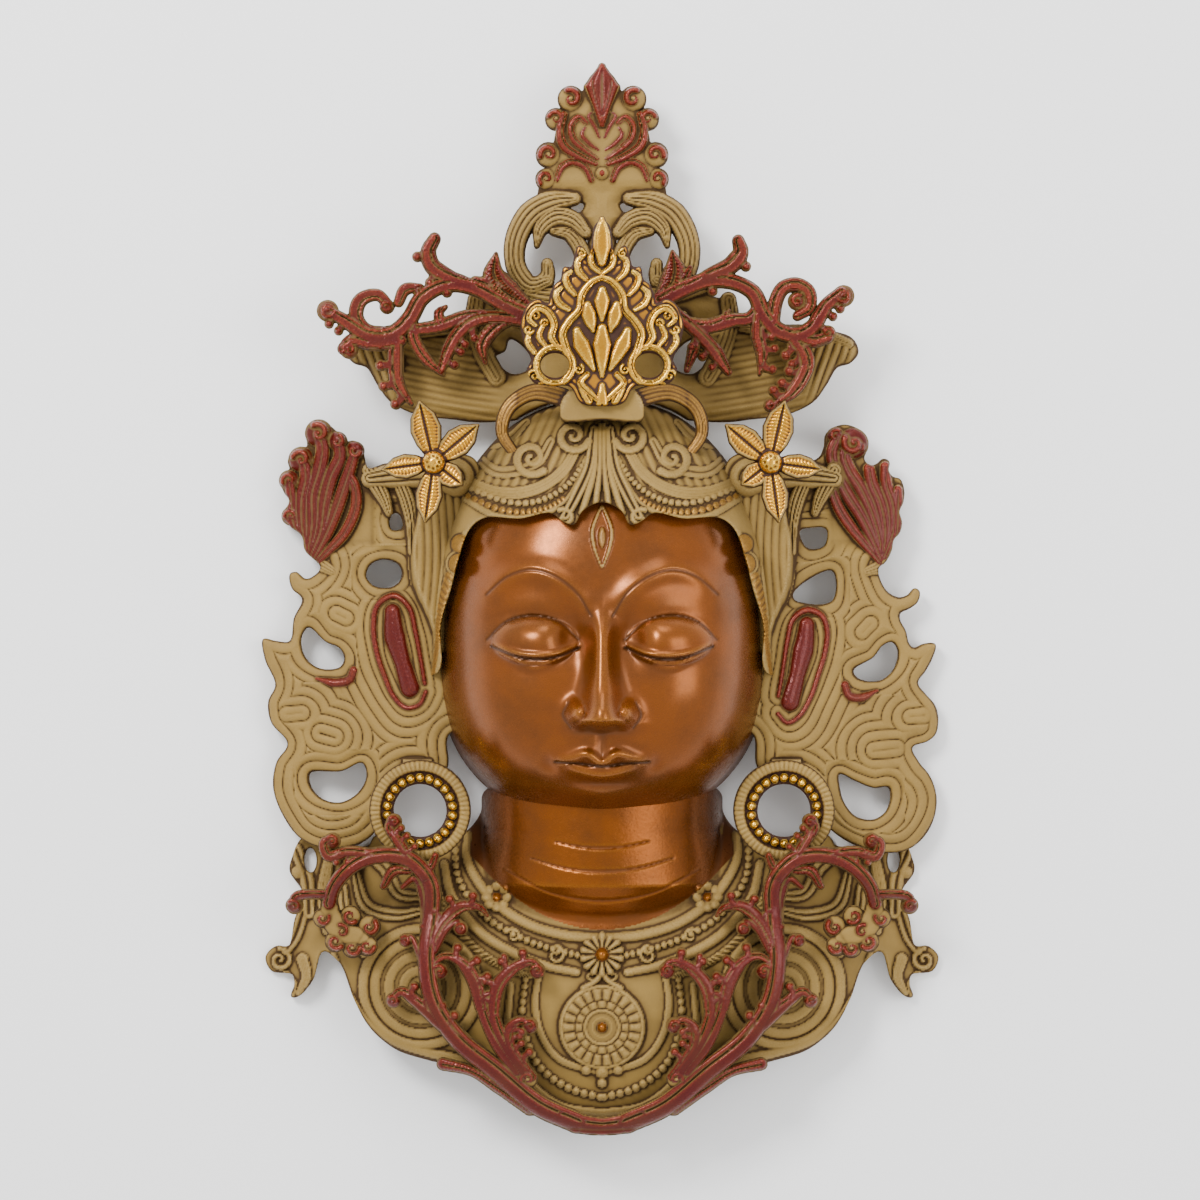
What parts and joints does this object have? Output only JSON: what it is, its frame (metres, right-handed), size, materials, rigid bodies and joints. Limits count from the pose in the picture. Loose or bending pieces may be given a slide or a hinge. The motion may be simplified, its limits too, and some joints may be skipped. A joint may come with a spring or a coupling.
{
  "type": "brass wall mask",
  "caption": "Hollow cast wall mask: a calm crowned face with scrolled side wings, round earrings, temple flowers and a breastplate under leafy openwork branches.",
  "frame": {"origin": "middle of the mask's back plane, at the centre of its bounding box seen from the front", "axes": "+X to the viewer's right, +Y towards the crown, +Z out of the face; the mask lies on its back"},
  "size_m": [0.324, 0.508, 0.111],
  "materials": {
    "khaki": "matt antique khaki wash over cast brass",
    "copper": "satin copper-brown patina",
    "wine": "wine-red colour rubbed over cast brass",
    "gold": "bright gilt with dark brown recesses"
  },
  "bodies": {
    "root": {"mask_body": "khaki", "crown_crest": "khaki", "crown_jewel": "gold", "crown_spray_left": "wine", "crown_spray_right": "wine", "temple_flower_left": "gold", "temple_flower_right": "gold", "earring_left": "gold", "earring_right": "gold", "breast_spray": "wine"}
  },
  "joints": []
}
